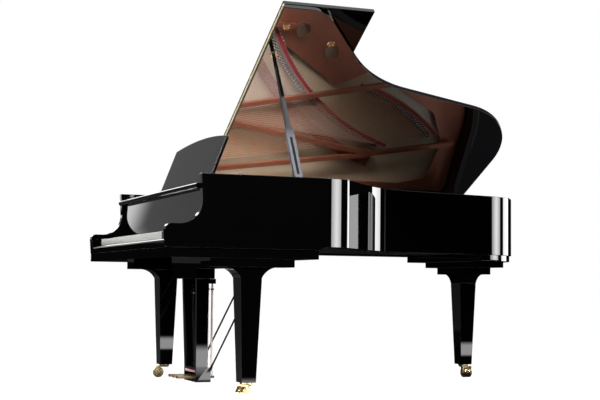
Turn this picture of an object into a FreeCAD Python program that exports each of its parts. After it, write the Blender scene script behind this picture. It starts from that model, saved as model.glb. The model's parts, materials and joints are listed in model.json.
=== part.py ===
import FreeCAD, Part
import math
import os

# Grand piano with its lid open on the prop, front flap folded back and music desk up.
# Millimetres, +Z up, +Y from the keyboard to the tail, origin on the floor under the middle of the case.

os.makedirs("parts", exist_ok=True)
V = FreeCAD.Vector

# General
overrun = 20.0
running_clearance = 0.05
rest_gap = 0.3

# Case
case_length = 2270.0
rim_top = 1000.0
rim_thickness = 38.0
inner_rim_thickness = 48.0
rim_bottom = 685.0
rim_step = (724.0, 754.0)
tail_board_front_share = 0.8427
tail_board_inset = 10.0
tail_board_thickness = 33.0
shoulder_y_share = 0.3703
bend_shares = (0.380, 0.553)
tail_shares = (0.070, 1.0132)
bass_corner_y_share = 0.9846
shoulder_radius = 175.0
bend_radius = 700.0
tail_radius = 430.0
bass_corner_radius = 80.0
rim_edge_radius = 2.0

# Arms of the rim
arm_top = 775.0
arm_nose = 8.0
arm_nose_radius = 26.0
cheek_back = 168.0
cheek_top_back = 155.0
cheek_radius = 105.0

# Keybed and belly rail
keybed_top = 670.0
keybed_thickness = 43.0
keybed_depth = 720.0
keybed_inset = 8.0
belly_rail_thickness = 48.0

# Back posts
post_width = 70.0
post_height = 95.0
post_rise = 5.0
post_x_shares = (-0.62, -0.28, 0.03, 0.27)

# Soundboard, ribs and bridges
soundboard_bottom = 842.0
soundboard_thickness = 9.0
rib_count = 10
rib_width = 24.0
rib_height = 22.0
rib_pitch = 255.0
rib_angle = 40.0
rib_first_share = -0.17
bridge_width = 30.0
long_bridge_start_shares = (0.722, 0.328)
long_bridge_middle_shares = (0.014, 0.447)
long_bridge_end_shares = (-0.580, 0.745)
bass_bridge_start_shares = (-0.139, 0.674)
bass_bridge_middle_shares = (-0.276, 0.789)
bass_bridge_end_shares = (-0.480, 0.887)

# Pin block and plate
pin_block_front = 222.0
pin_block_depth = 150.0
pin_block_thickness = 38.0
plate_bottom = 888.0
plate_thickness = 10.0
plate_rim_gap = 6.0
plate_skirt = 16.0
plate_opening_front = 412.0
plate_opening_shares = (
    (-0.890, 0.0),
    (0.880, 0.0),
    (0.880, 0.300),
    (0.760, 0.357),
    (0.190, 0.418),
    (-0.135, 0.600),
    (0.000, 0.690),
    (-0.300, 0.890),
    (-0.540, 0.930),
    (-0.840, 0.905),
    (-0.890, 0.830),
)
plate_opening_radius = 45.0
plate_front_radius = 6.0
hitch_band_width = 60.0
hitch_band_offset = 120.0
hitch_band_drop = 8.0
strut_width = 26.0
strut_height = 26.0
strut_lift = 24.0
strut_foot = 23.0
strut_front = 374.5
strut_shares = (
    (-0.875, 0.0, -0.645, 0.716),
    (-0.370, 0.0, -0.640, 0.720),
    (-0.640, 0.716, -0.520, 0.955),
    (-0.430, 0.0, -0.068, 0.760),
    (0.330, 0.0, 0.300, 0.462),
)
plate_hole_radius = 42.0
plate_hole_boss = 10.0
plate_hole_lip = 5.0
plate_hole_shares = ((0.262, 0.486), (0.120, 0.570), (0.100, 0.655))

# Tuning pins, agraffes and strings
pin_columns = 48
pin_rows = 4
pin_radius = 3.3
pin_height = 30.0
pin_row_pitch = 24.0
pin_first_row = 282.0
pin_field_share = 0.80
agraffe_radius = 4.0
agraffe_back = 405.5
string_front = 400.5
treble_count = 62
treble_string_radius = 0.7
treble_string_z = 900.0
treble_front_shares = (0.775, -0.395)
treble_tail = 95.0
bass_count = 26
bass_string_radius = 1.7
bass_string_z = 914.0
bass_front_shares = (-0.425, -0.835)
bass_tail = 70.0

# Dampers
damper_back = 545.0
damper_length = 44.0
damper_width = 9.0
damper_height = 16.0
damper_wire_radius = 1.2
damper_wire_drop = 110.0
damped_treble = 44

# Keys and key frame
natural_pitch = 23.5
key_count = 88
natural_count = 52
lowest_step = 9
naturals_below = 5
key_gap = 0.9
key_notch_gap = 2.2
key_front = 22.0
natural_head = 50.0
key_length = 408.0
key_bottom = 710.0
natural_top = 743.0
sharp_front = 74.0
sharp_back = 160.0
sharp_rise = 12.0
sharp_taper = 1.6
sharp_slope = 8.0
key_stick_drop = 2.0
balance_back = 235.0
balance_ridge = 10.0
frame_side_gap = 12.0
frame_shift_room = 4.0
front_rail = (28.0, 88.0)
front_rail_height = 28.0
balance_rail = (218.0, 252.0)
back_rail = (388.0, 428.0)
slip_count = 5
slip_width = 30.0
slip_height = 16.0

# Key slip, key blocks and fallboard
key_slip_front = 2.0
key_slip_thickness = 16.0
key_slip_height = 38.0
key_slip_radius = 7.0
key_block_width = 114.0
key_block_top = 748.0
key_block_front = 24.0
key_block_back = 165.0
key_block_edge = 6.0
fallboard_pivot = (185.0, 768.0)
fallboard_thickness = 18.0
fallboard_bottom = 756.0
fallboard_top = 959.0
fallboard_lip_height = 25.0
fallboard_lip_reach = 46.0
fallboard_lip_radius = 9.0
fallboard_end_gap = 4.0
fallboard_pin_radius = 5.0
fallboard_pin_length = 14.0

# Action
hammer_pivot = (330.0, 800.0)
hammer_rod_radius = 4.0
hammer_butt = 14.0
hammer_shank = 6.0
hammer_reach = 135.0
hammer_head_length = 26.0
hammer_head_width = 9.0
hammer_head_drop = 10.0
hammer_head_rise = 38.0
hammer_nose_share = 0.33
action_bracket = 6.0
action_bracket_depth = 30.0

# Music desk
runner_width = 37.0
runner_height = 16.0
runner_span = (230.0, 600.0)
tray_bottom = 952.0
tray_thickness = 16.0
tray_span = (200.0, 560.0)
tray_side_gap = 7.0
desk_pivot = (300.5, 991.0)
desk_half_width = 432.0
desk_height = 236.0
desk_arch = 27.0
desk_thickness = 14.0
desk_lean = 21.2
desk_corner_radius = 12.0
desk_pin_radius = 4.0
desk_pin_length = 12.0
desk_lug = 14.0
desk_lug_half = 10.0
stay_up = 100.0
stay_offset = 13.0
stay_width = 60.0
stay_thickness = 8.0
stay_slope = 60.0
stay_pin_radius = 2.2
stay_pin_length = 6.0
stay_lug = 8.0
stay_rest = (84.0, 26.0)
stay_rest_height = 4.0

# Lid
lid_gap = 8.0
lid_thickness = 22.0
lid_overhang = 6.0
lid_joint_share = 0.2740088
lid_front_back = 147.0
lid_joint_gap = 0.5
lid_open_angle = 31.7
lid_edge_radius = 3.0
lid_hinge_rise = 4.0
lid_hinge_radius = 5.5
lid_hinge_length = 110.0
lid_hinge_shares = (0.32, 0.58, 0.85)
hinge_leaf = 1.6
hinge_leaf_height = 34.0
flap_hinge_rise = 1.0
flap_hinge_radius = 4.0
flap_hinge_inset = 5.0
cup_radius = 18.0
cup_height = 4.5
cup_recess = 10.0
cup_shares = ((0.7890323, 0.2955947), (0.9187097, 0.2964758), (0.8574194, 0.414978))
buffer_radius = 9.0
buffer_shares = (0.05, 0.134, 0.358, 0.489)

# Lid prop
prop_foot_inset = 37.0
prop_foot_share = 0.285022
prop_foot_drop = 25.0
prop_ball_radius = 12.0
prop_stem_radius = 9.0
prop_stem_length = 24.0
prop_lower_length = 300.0
prop_lower_width = 40.0
prop_upper_width = 22.0
prop_thickness = 20.0
prop_neck = 40.0
prop_slot_width = 13.0
prop_slot_start = 50.0
prop_slot_length = 220.0
half_prop_width = 12.0
half_prop_length = 205.0
half_prop_thickness = 14.0
half_prop_pin_radius = 2.5
prop_dish_radius = 17.0
prop_dish_height = 16.0
prop_bracket_width = 40.0

# Legs
front_leg_inset = 85.0
front_leg_back = 403.0
tail_leg_shares = (-0.4580645, 0.911894)
leg_bottom = 72.0
leg_top_size = (114.0, 100.0)
leg_bottom_size = (80.0, 67.0)
front_haunch = (150.0, 400.0)
tail_haunch = (120.0, 413.0)
haunch_thickness = 38.0
flare_height = 49.0
flare_lean = 25.0
flare_round_share = 0.98
tail_plate = (560.0, 200.0)
tail_plate_thickness = 32.0

# Casters
wheel_radius = 28.0
wheel_width = 22.0
wheel_gap = 2.0
wheel_edge = 3.0
axle_radius = 4.0
caster_trail = 32.0
socket_radius = 27.0
socket_height = 8.0
swivel_disc_radius = 24.0
swivel_disc_height = 6.0
swivel_pin_radius = 6.0
fork_side_gap = 1.0
fork_cheek = 6.0
fork_eye_radius = 10.0
caster_turns = (-108.0, -48.0, 5.0)

# Pedal lyre
lyre_span = (309.0, 400.0)
lyre_top_half = 213.0
lyre_top_height = 90.0
lyre_bar_height = 42.0
lyre_guide_half = 88.0
lyre_guide_span = (378.0, 446.0)
lyre_guide_height = 24.0
lyre_post_width = 26.0
lyre_post_top_half = 130.0
lyre_post_top_span = (334.5, 397.0)
lyre_post_foot_back = 402.0
lyre_box_half = 103.0
lyre_box_span = (345.0, 421.0)
lyre_box_bottom = 30.0
lyre_box_top = 101.0
lyre_box_wall = 12.0
pedal_pitch = 70.0
pedal_axle_back = 375.0
pedal_axle_z = 54.0
pedal_axle_radius = 5.0
pedal_tip_back = 256.0
pedal_tail_back = 447.0
pedal_thickness = 12.0
pedal_tip_width = 32.0
pedal_stem_width = 18.0
pedal_pad_length = 62.0
pedal_round_share = 0.8
rod_radius = 5.0
rod_back = 433.0
rod_room = 1.5
rod_top = 655.0
brace_radius = 7.0
brace_x = 92.0
brace_foot_z = 90.0
brace_top_back = 690.0

# Derived places
front = -case_length / 2
octave = natural_pitch * 7
semitone = octave / 12
keyboard_half = natural_pitch * natural_count / 2
lowest_octave = -keyboard_half - natural_pitch * naturals_below
block_inside = keyboard_half + frame_side_gap
action_half = block_inside - frame_shift_room
inside = block_inside + key_block_width
half = inside + rim_thickness
keybed_bottom = keybed_top - keybed_thickness
tail_board_bottom = rim_bottom - tail_board_thickness
keybed_back = front + keybed_depth
belly_front = keybed_back - belly_rail_thickness
soundboard_top = soundboard_bottom + soundboard_thickness
plate_top = plate_bottom + plate_thickness
lid_bottom = rim_top + lid_gap
lid_top = lid_bottom + lid_thickness
cup_floor = lid_bottom - cup_height / 3
lid_axis = V(-half, 0, rim_top + lid_hinge_rise)
lid_joint = front + case_length * lid_joint_share
flap_axis = V(0, lid_joint, lid_top + flap_hinge_rise)
tray_top = tray_bottom + tray_thickness


def export(name, *solids):
    shape = solids[0] if len(solids) == 1 else Part.makeCompound(list(solids))
    shape.exportStep("parts/" + name + ".step")


def block(x0, x1, y0, y1, z0, z1):
    # Box between two X limits in either order, two Y limits and two Z limits.
    return Part.makeBox(abs(x1 - x0), y1 - y0, z1 - z0, V(min(x0, x1), y0, z0))


def beam(x, y, width, depth, z0, z1):
    # Box centred on a place in plan.
    return block(x - width / 2, x + width / 2, y - depth / 2, y + depth / 2, z0, z1)


def rod(start, end, radius):
    return Part.makeCylinder(radius, (end - start).Length, start, end - start)


def upright(x, y, z0, z1, radius):
    return Part.makeCylinder(radius, z1 - z0, V(x, y, z0))


def crosswise(x0, x1, y, z, radius):
    return Part.makeCylinder(radius, abs(x1 - x0), V(min(x0, x1), y, z), V(1, 0, 0))


def along_y(x, y0, y1, z, radius):
    return Part.makeCylinder(radius, y1 - y0, V(x, y0, z), V(0, 1, 0))


def corner_arc(before, at, after, radius):
    # Tangent arc that rounds the corner between two straight runs.
    inward = (before - at).normalize()
    outward = (after - at).normalize()
    turn = inward.getAngle(outward)
    reach = radius / math.tan(turn / 2)
    bisector = (inward + outward).normalize()
    middle = at + bisector * (radius / math.sin(turn / 2) - radius)
    return at + inward * reach, middle, at + outward * reach


def outline(corners):
    # Closed face from (point, radius) corners, with every rounded corner a tangent arc.
    count = len(corners)
    arcs = {}
    runs = []
    for i in range(count):
        point, radius = corners[i]
        if radius > 0:
            start, middle, end = corner_arc(corners[i - 1][0], point, corners[(i + 1) % count][0], radius)
            arcs[i] = Part.Arc(start, middle, end).toShape()
            runs.append((start, end))
        else:
            runs.append((point, point))
    edges = []
    for i in range(count):
        if i in arcs:
            edges.append(arcs[i])
        edges.append(Part.LineSegment(runs[i][1], runs[(i + 1) % count][0]).toShape())
    return Part.Face(Part.Wire(edges))


def case_corners(inset):
    # Corners of the case's bentside, tail and spine, moved inwards, with their radii.
    points = [
        V(half, front, 0),
        V(half, front + case_length * shoulder_y_share, 0),
        V(half * bend_shares[0], front + case_length * bend_shares[1], 0),
        V(half * tail_shares[0], front + case_length * tail_shares[1], 0),
        V(-half, front + case_length * bass_corner_y_share, 0),
        V(-half, front, 0),
    ]
    radii = [
        shoulder_radius - inset,
        bend_radius + inset,
        tail_radius - inset,
        bass_corner_radius - inset,
    ]
    moved = []
    for i in range(1, len(points) - 1):
        before = (points[i] - points[i - 1]).normalize()
        after = (points[i + 1] - points[i]).normalize()
        normal_a = V(-before.y, before.x, 0)
        normal_b = V(-after.y, after.x, 0)
        share = inset / (1 + normal_a.dot(normal_b))
        moved.append((points[i] + (normal_a + normal_b) * share, radii[i - 1]))
    return moved


def case_slab(inset, front_y, z0, z1):
    # Slab with the case's plan, moved inwards, with a straight front edge.
    side = half - inset
    corners = [(V(side, front_y, 0), 0)] + case_corners(inset) + [(V(-side, front_y, 0), 0)]
    slab = outline(corners).extrude(V(0, 0, z1 - z0))
    slab.translate(V(0, 0, z0))
    return slab


def plan(shares):
    # Point in plan from shares of the case's half width and length.
    return V(half * shares[0], front + case_length * shares[1], 0)


def arc_circle(a, b, c):
    circle = Part.Arc(a, b, c).toShape().Curve
    return circle.Center, circle.Radius


def arc_bar(a, b, c, width, offset, z0, z1):
    # Flat bar that follows the arc through three points, moved sideways by an offset.
    centre, radius = arc_circle(a, b, c)
    sides = []
    for shift in (offset - width / 2, offset + width / 2):
        grown = (radius - shift) / radius
        sides.append([centre + (p - centre) * grown for p in (a, b, c)])
    near, far = sides
    wire = Part.Wire([
        Part.Arc(*near).toShape(),
        Part.LineSegment(near[2], far[2]).toShape(),
        Part.Arc(far[2], far[1], far[0]).toShape(),
        Part.LineSegment(far[0], near[0]).toShape(),
    ])
    bar = Part.Face(wire).extrude(V(0, 0, z1 - z0))
    bar.translate(V(0, 0, z0))
    return bar


def arc_point(a, b, c, share):
    curve = Part.Arc(a, b, c).toShape()
    return curve.valueAt(curve.FirstParameter + (curve.LastParameter - curve.FirstParameter) * share)


def side_profile(corners, x0, x1):
    # Prism along X from a (Y, Z, radius) profile.
    face = outline([(V(x0, y, z), radius) for y, z, radius in corners])
    return face.extrude(V(x1 - x0, 0, 0))


def open_lid(shape):
    # The lid's parts are drawn closed and then lifted about the spine hinges.
    shape.rotate(lid_axis, V(0, -1, 0), lid_open_angle)
    return shape


# Outer rim with its two arms
def make_outer_rim():
    tail_y = front + case_length * tail_shares[1]
    nose_y = front - arm_nose
    ring = case_slab(0, nose_y, keybed_top, rim_top)
    ring = ring.cut(case_slab(rim_thickness, nose_y - overrun, keybed_top - overrun, rim_top + overrun))
    silhouette = side_profile([
        (front, keybed_top, 0),
        (nose_y, arm_top, arm_nose_radius),
        (front + cheek_back, arm_top, cheek_radius),
        (front + cheek_top_back, rim_top, 0),
        (tail_y + overrun, rim_top, 0),
        (tail_y + overrun, rim_bottom, 0),
        (front + rim_step[1], rim_bottom, 0),
        (front + rim_step[0], keybed_top, 0),
    ], -half - overrun, half + overrun)
    rim = ring.common(silhouette)
    top_edges = [e for e in rim.Edges if all(abs(v.Z - rim_top) < rest_gap for v in e.Vertexes)]
    rim = rim.makeFillet(rim_edge_radius, top_edges)
    for y in hinge_places():
        rim = rim.cut(hinge_room(y))
    bore_radius = fallboard_pin_radius + running_clearance
    for side in (-1, 1):
        bore = crosswise(side * (inside - overrun), side * (pin_reach() + rest_gap),
                         front + fallboard_pivot[0], fallboard_pivot[1], bore_radius)
        rim = rim.cut(bore)
    export("outer_rim", rim)


def hinge_places():
    # Front end of each spine hinge.
    return [front + case_length * share - lid_hinge_length / 2 for share in lid_hinge_shares]


def hinge_room(y):
    # Groove that a spine hinge's barrel turns in.
    end = y + lid_hinge_length + rest_gap
    return along_y(lid_axis.x, y - rest_gap, end, lid_axis.z, lid_hinge_radius + rest_gap)


# Inner rim with the board under the tail, belly rail, keybed and back posts
def make_case_frame():
    core_inset = rim_thickness + inner_rim_thickness
    ring = case_slab(rim_thickness, keybed_back, rim_bottom, soundboard_bottom)
    core_z = (rim_bottom - overrun, soundboard_bottom + overrun)
    ring = ring.cut(case_slab(core_inset, keybed_back - overrun, *core_z))
    board_y = front + case_length * tail_board_front_share
    tail_y = front + case_length * tail_shares[1]
    board = case_slab(tail_board_inset, keybed_back, tail_board_bottom, rim_bottom)
    board = board.common(block(-half, half, board_y, tail_y, tail_board_bottom, rim_bottom))
    export("inner_rim", ring, board)
    export("belly_rail", block(-inside, inside, belly_front, keybed_back, keybed_top, soundboard_bottom))
    bed = block(-half + keybed_inset, half - keybed_inset, front, keybed_back, keybed_bottom, keybed_top)
    for x in pedal_xs():
        hole_radius = rod_radius + rod_room
        rod_y = front + rod_back
        bed = bed.cut(upright(x, rod_y, keybed_bottom - overrun, keybed_top + overrun, hole_radius))
    export("keybed", bed)
    post_bottom = rim_bottom + post_rise
    post_top = post_bottom + post_height
    posts = []
    for share in post_x_shares:
        left = half * share - post_width / 2
        post = block(left, left + post_width, keybed_back, -front + overrun, post_bottom, post_top)
        posts.append(post.common(case_slab(core_inset, keybed_back, post_bottom, post_top)))
    export("back_posts", *posts)


def pedal_xs():
    return (-pedal_pitch, 0, pedal_pitch)


# Soundboard with its ribs and bridges
def make_soundboard():
    core_inset = rim_thickness + inner_rim_thickness
    export("soundboard", case_slab(rim_thickness, belly_front, soundboard_bottom, soundboard_top))
    core = case_slab(core_inset, keybed_back, soundboard_bottom - rib_height, soundboard_bottom)
    ribs = []
    for i in range(rib_count):
        y = front + case_length * rib_first_share + rib_pitch * i
        bar = beam(0, y, 2 * case_length, rib_width, soundboard_bottom - rib_height, soundboard_bottom)
        bar.rotate(V(-half, y, 0), V(0, 0, 1), rib_angle)
        rib = bar.common(core)
        ribs.extend(rib.Solids)
    export("soundboard_ribs", *ribs)
    long_top = treble_string_z - treble_string_radius - rest_gap
    bass_top = bass_string_z - bass_string_radius - rest_gap
    export("bridges", arc_bar(*long_bridge(), bridge_width, 0, soundboard_top, long_top),
           arc_bar(*bass_bridge(), bridge_width, 0, soundboard_top, bass_top))


def long_bridge():
    return plan(long_bridge_start_shares), plan(long_bridge_middle_shares), plan(long_bridge_end_shares)


def bass_bridge():
    return plan(bass_bridge_start_shares), plan(bass_bridge_middle_shares), plan(bass_bridge_end_shares)


# Pin block and cast plate with struts, round openings and hitch band
def make_plate():
    block_back = front + pin_block_front + pin_block_depth
    export("pin_block", block(-inside, inside, front + pin_block_front, block_back,
                              plate_bottom - pin_block_thickness, plate_bottom))
    inset = rim_thickness + plate_rim_gap
    plate = case_slab(inset, front + pin_block_front, plate_bottom, plate_top)
    corners = []
    for x_share, y_share in plate_opening_shares:
        y = front + max(plate_opening_front, case_length * y_share)
        radius = plate_opening_radius if y_share else plate_front_radius
        corners.append((V(half * x_share, y, plate_bottom - overrun), radius))
    plate = plate.cut(outline(corners).extrude(V(0, 0, plate_thickness + 2 * overrun)))
    skirt = case_slab(inset, keybed_back, soundboard_top, plate_bottom)
    skirt = skirt.cut(case_slab(inset + plate_skirt, keybed_back - overrun, soundboard_top - overrun,
                                plate_bottom + overrun))
    plate = plate.fuse(skirt)
    band_bottom = plate_bottom - hitch_band_drop
    band = arc_bar(*long_bridge(), hitch_band_width, -hitch_band_offset, band_bottom, plate_top)
    plate = plate.fuse(band.common(case_slab(inset, keybed_back, soundboard_top, plate_top)))
    for shares in strut_shares:
        plate = plate.fuse(strut(*strut_ends(shares)))
    boss_radius = plate_hole_radius + plate_hole_boss
    for shares in plate_hole_shares:
        place = plan(shares)
        plate = plate.fuse(upright(place.x, place.y, plate_bottom, plate_top + plate_hole_lip, boss_radius))
        hole = upright(place.x, place.y, plate_bottom - overrun, plate_top + overrun, plate_hole_radius)
        plate = plate.cut(hole)
    export("plate", plate.removeSplitter())


def strut_ends(shares):
    # Both ends of a strut in plan; none starts in front of the tuning pins.
    start = plan(shares[:2])
    start.y = max(start.y, front + strut_front)
    return start, plan(shares[2:])


def strut(start, end):
    # Raised bar over the strings with a foot on the plate at each end.
    length = (end - start).Length
    low = plate_top + strut_lift
    side = strut_width / 2
    bar = block(0, length, -side, side, low, low + strut_height)
    for x in (0, length - strut_foot):
        bar = bar.fuse(block(x, x + strut_foot, -side, side, plate_bottom, low + strut_height))
    along = end - start
    bar.rotate(V(0, 0, 0), V(0, 0, 1), math.degrees(math.atan2(along.y, along.x)))
    bar.translate(start)
    return bar


# Strings, tuning pins and agraffes
def string_run(front_shares, bridge, share, tail):
    x = half * (front_shares[0] + (front_shares[1] - front_shares[0]) * share)
    start = V(x, front + string_front, 0)
    at_bridge = arc_point(*bridge, share)
    direction = (at_bridge - start).normalize()
    return start, at_bridge + direction * tail


def treble_runs():
    return [string_run(treble_front_shares, long_bridge(), (i + 1 / 2) / treble_count, treble_tail)
            for i in range(treble_count)]


def bass_runs():
    return [string_run(bass_front_shares, bass_bridge(), (i + 1 / 2) / bass_count, bass_tail)
            for i in range(bass_count)]


def make_strings():
    agraffes = []
    for name, runs, z, radius in (
        ("treble_strings", treble_runs(), treble_string_z, treble_string_radius),
        ("bass_strings", bass_runs(), bass_string_z, bass_string_radius),
    ):
        lift = V(0, 0, z)
        export(name, *[rod(start + lift, end + lift, radius) for start, end in runs])
        for start, end in runs:
            foot = start + (end - start) * ((agraffe_back - string_front) / (end.y - start.y))
            agraffes.append(upright(foot.x, foot.y, plate_top, z - radius - rest_gap, agraffe_radius))
    export("agraffes", *agraffes)
    pins = []
    field = half * pin_field_share
    for row in range(pin_rows):
        y = front + pin_first_row + pin_row_pitch * row
        for column in range(pin_columns):
            x = -field + 2 * field * (column + (row + 1) / (pin_rows + 1)) / pin_columns
            pins.append(upright(x, y, plate_top, plate_top + pin_height, pin_radius))
    export("tuning_pins", *pins)


# Dampers that lie on the strings
def make_dampers():
    dampers = []
    y = front + damper_back
    bass_xs = [run_x(run, y) for run in bass_runs()]
    treble_xs = [run_x(run, y) for run in treble_runs()]
    sections = (
        (bass_xs, treble_xs, bass_string_z + bass_string_radius),
        (treble_xs[-damped_treble:], bass_xs, treble_string_z + treble_string_radius),
    )
    for xs, crossing_xs, top in sections:
        for x in xs:
            crossed = any(abs(x - other) < 2 * damper_width for other in crossing_xs)
            if not crossed and not near_strut(x, y):
                dampers.append(damper(x, y, top + rest_gap))
    export("dampers", *dampers)


def run_x(run, y):
    start, end = run
    return start.x + (end.x - start.x) * (y - start.y) / (end.y - start.y)


def damper(x, y, low):
    head = beam(x, y, damper_width, damper_length, low, low + damper_height)
    wire_x = x + damper_width / 2 - damper_wire_radius
    wire = upright(wire_x, y, low - damper_wire_drop, low + damper_height / 2, damper_wire_radius)
    return head.fuse(wire)


def near_strut(x, y):
    for shares in strut_shares:
        start, end = strut_ends(shares)
        if start.y < y < end.y:
            at = start.x + (end.x - start.x) * (y - start.y) / (end.y - start.y)
            if abs(x - at) < strut_width / 2 + damper_width:
                return True
    return False


# Keys, by the note that gives each natural its shape
def key_slot(index):
    # Octave number and step of a key, counted from the lowest note, which is the tenth step of its octave.
    return divmod(index + lowest_step, 12)


def make_keys():
    steps = {0: "c", 2: "d", 4: "e", 5: "f", 7: "g", 9: "a", 11: "b"}
    names = list(steps.values())
    groups = {name: [] for name in names}
    sharps = []
    key_back = front + key_front + key_length
    for index in range(key_count):
        octave_number, step = key_slot(index)
        base = lowest_octave + octave * octave_number
        slot_x = base + semitone * step
        if step in steps:
            head_x = base + natural_pitch * names.index(steps[step])
            full_width = index == key_count - 1
            groups[steps[step]].append(natural_key(head_x, slot_x, key_back, full_width))
        else:
            sharps.append(sharp_key(slot_x + key_gap / 2, slot_x + semitone - key_gap / 2, key_back))
    for name in names:
        export("keys_" + name, *groups[name])
    export("keys_sharp", *sharps)


def natural_key(head_x, slot_x, key_back, full_width):
    # Wide head in front and a narrow tail in the key's own twelfth of the octave.
    head_y = front + key_front
    shoulder_y = head_y + natural_head
    head_x0 = head_x + key_gap / 2
    head_x1 = head_x + natural_pitch - key_gap / 2
    tail_x0 = head_x0 if full_width else slot_x + key_gap / 2
    tail_x1 = head_x1 if full_width else slot_x + semitone - key_gap / 2
    head = block(head_x0, head_x1, head_y, shoulder_y, key_bottom, natural_top)
    tail = block(tail_x0, tail_x1, shoulder_y - overrun, key_back, key_bottom, natural_top)
    notch = block(head_x0 - overrun, head_x0, head_y, shoulder_y + key_notch_gap, key_bottom, natural_top)
    return head.fuse(tail.cut(notch)).removeSplitter()


def sharp_key(x0, x1, key_back):
    start = front + sharp_front
    stop = front + sharp_back
    base_z = natural_top - key_stick_drop
    stick = block(x0, x1, start, key_back, key_bottom, base_z)
    top_z = natural_top + sharp_rise

    def ring(z, inset, lean):
        points = [V(x0 + inset, start + lean, z), V(x1 - inset, start + lean, z),
                  V(x1 - inset, stop, z), V(x0 + inset, stop, z)]
        return Part.makePolygon(points + points[:1])

    cap = Part.makeLoft([ring(base_z, 0, 0), ring(top_z, sharp_taper, sharp_slope)], True, True)
    return stick.fuse(cap)


def make_key_frame():
    width = 2 * action_half
    rail_top = key_bottom - rest_gap
    low_top = keybed_top + front_rail_height
    frame = beam(0, front + balance_back, width, balance_ridge, keybed_top, rail_top)
    for span, top in ((front_rail, low_top), (balance_rail, low_top), (back_rail, rail_top)):
        rail = block(-action_half, action_half, front + span[0], front + span[1], keybed_top, top)
        frame = frame.fuse(rail)
    for i in range(slip_count):
        x = (width - slip_width) * (i / (slip_count - 1) - 1 / 2)
        frame = frame.fuse(block(x - slip_width / 2, x + slip_width / 2, front + front_rail[0],
                                 front + back_rail[1], keybed_top, keybed_top + slip_height))
    export("key_frame", frame.removeSplitter())


# Hammers on their rod, carried by two end brackets on the key frame
def make_action():
    pivot_y = front + hammer_pivot[0]
    pivot_z = hammer_pivot[1]
    rail = crosswise(-action_half, action_half, pivot_y, pivot_z, hammer_rod_radius)
    bracket_front = pivot_y - action_bracket_depth / 2
    bracket_back = pivot_y + action_bracket_depth / 2
    low = keybed_top + slip_height
    for side in (-1, 1):
        outer = side * action_half
        inner = side * (action_half - action_bracket)
        bracket = block(inner, outer, bracket_front, bracket_back, low, pivot_z + hammer_butt / 2)
        foot = block(inner, outer, bracket_front, front + back_rail[0], low, low + action_bracket)
        rail = rail.multiFuse([bracket, foot])
    export("hammer_rail", rail)
    hammers = []
    for index in range(key_count):
        octave_number, step = key_slot(index)
        x = lowest_octave + octave * octave_number + semitone * (step + 1 / 2)
        hammers.append(hammer(x, pivot_y, pivot_z))
    export("hammers", *hammers)


def hammer(x, y, z):
    half_head = hammer_head_width / 2
    half_butt = hammer_butt / 2
    half_shank = hammer_shank / 2
    head_y = y + hammer_reach
    head_front = head_y - hammer_head_length / 2
    head_back = head_y + hammer_head_length / 2
    butt = block(x - half_head, x + half_head, y - half_butt, y + hammer_butt, z - half_butt, z + half_butt)
    shank = block(x - half_shank, x + half_shank, y + half_butt, head_y, z - half_shank, z + half_shank)
    head = side_profile([
        (head_front, z - hammer_head_drop, 0),
        (head_back, z - hammer_head_drop, 0),
        (head_back, z + hammer_head_drop, 0),
        (head_y, z + hammer_head_rise, hammer_head_width * hammer_nose_share),
        (head_front, z + hammer_head_drop, 0),
    ], x - half_head, x + half_head)
    bore = crosswise(x - overrun, x + overrun, y, z, hammer_rod_radius + running_clearance)
    return butt.multiFuse([shank, head]).cut(bore)


# Key slip, key blocks and fallboard
def make_key_well():
    slip_front = front + key_slip_front
    slip_back = slip_front + key_slip_thickness
    slip_top = keybed_top + key_slip_height
    slip_half = inside - rest_gap
    slip = side_profile([
        (slip_front, keybed_top, 0),
        (slip_front, slip_top, key_slip_radius),
        (slip_back, slip_top, key_slip_radius),
        (slip_back, keybed_top, 0),
    ], -slip_half, slip_half)
    export("key_slip", slip)
    pivot_y = front + fallboard_pivot[0]
    pivot_z = fallboard_pivot[1]
    blocks = []
    for side in (-1, 1):
        blocks.append(side_profile([
            (front + key_block_front, keybed_top, 0),
            (front + key_block_front, key_block_top, key_block_edge),
            (front + key_block_back, key_block_top, key_block_edge),
            (front + key_block_back, keybed_top, 0),
        ], side * block_inside, side * inside))
    export("key_blocks", *blocks)
    end = inside - fallboard_end_gap
    board = beam(0, pivot_y, 2 * end, fallboard_thickness, fallboard_bottom, fallboard_top)
    lip_y = pivot_y - fallboard_lip_reach
    lip_z = fallboard_top - fallboard_lip_height
    lip = side_profile([
        (pivot_y, lip_z, 0),
        (pivot_y, fallboard_top, 0),
        (lip_y, fallboard_top, fallboard_lip_radius),
        (lip_y, lip_z, fallboard_lip_radius),
    ], -end, end)
    pins = [crosswise(side * (end - overrun), side * pin_reach(), pivot_y, pivot_z, fallboard_pin_radius)
            for side in (-1, 1)]
    export("fallboard", board.multiFuse([lip] + pins).removeSplitter())


def pin_reach():
    # Outer end of the fallboard's pivot pins, in the rim.
    return inside + fallboard_pin_length


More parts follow.
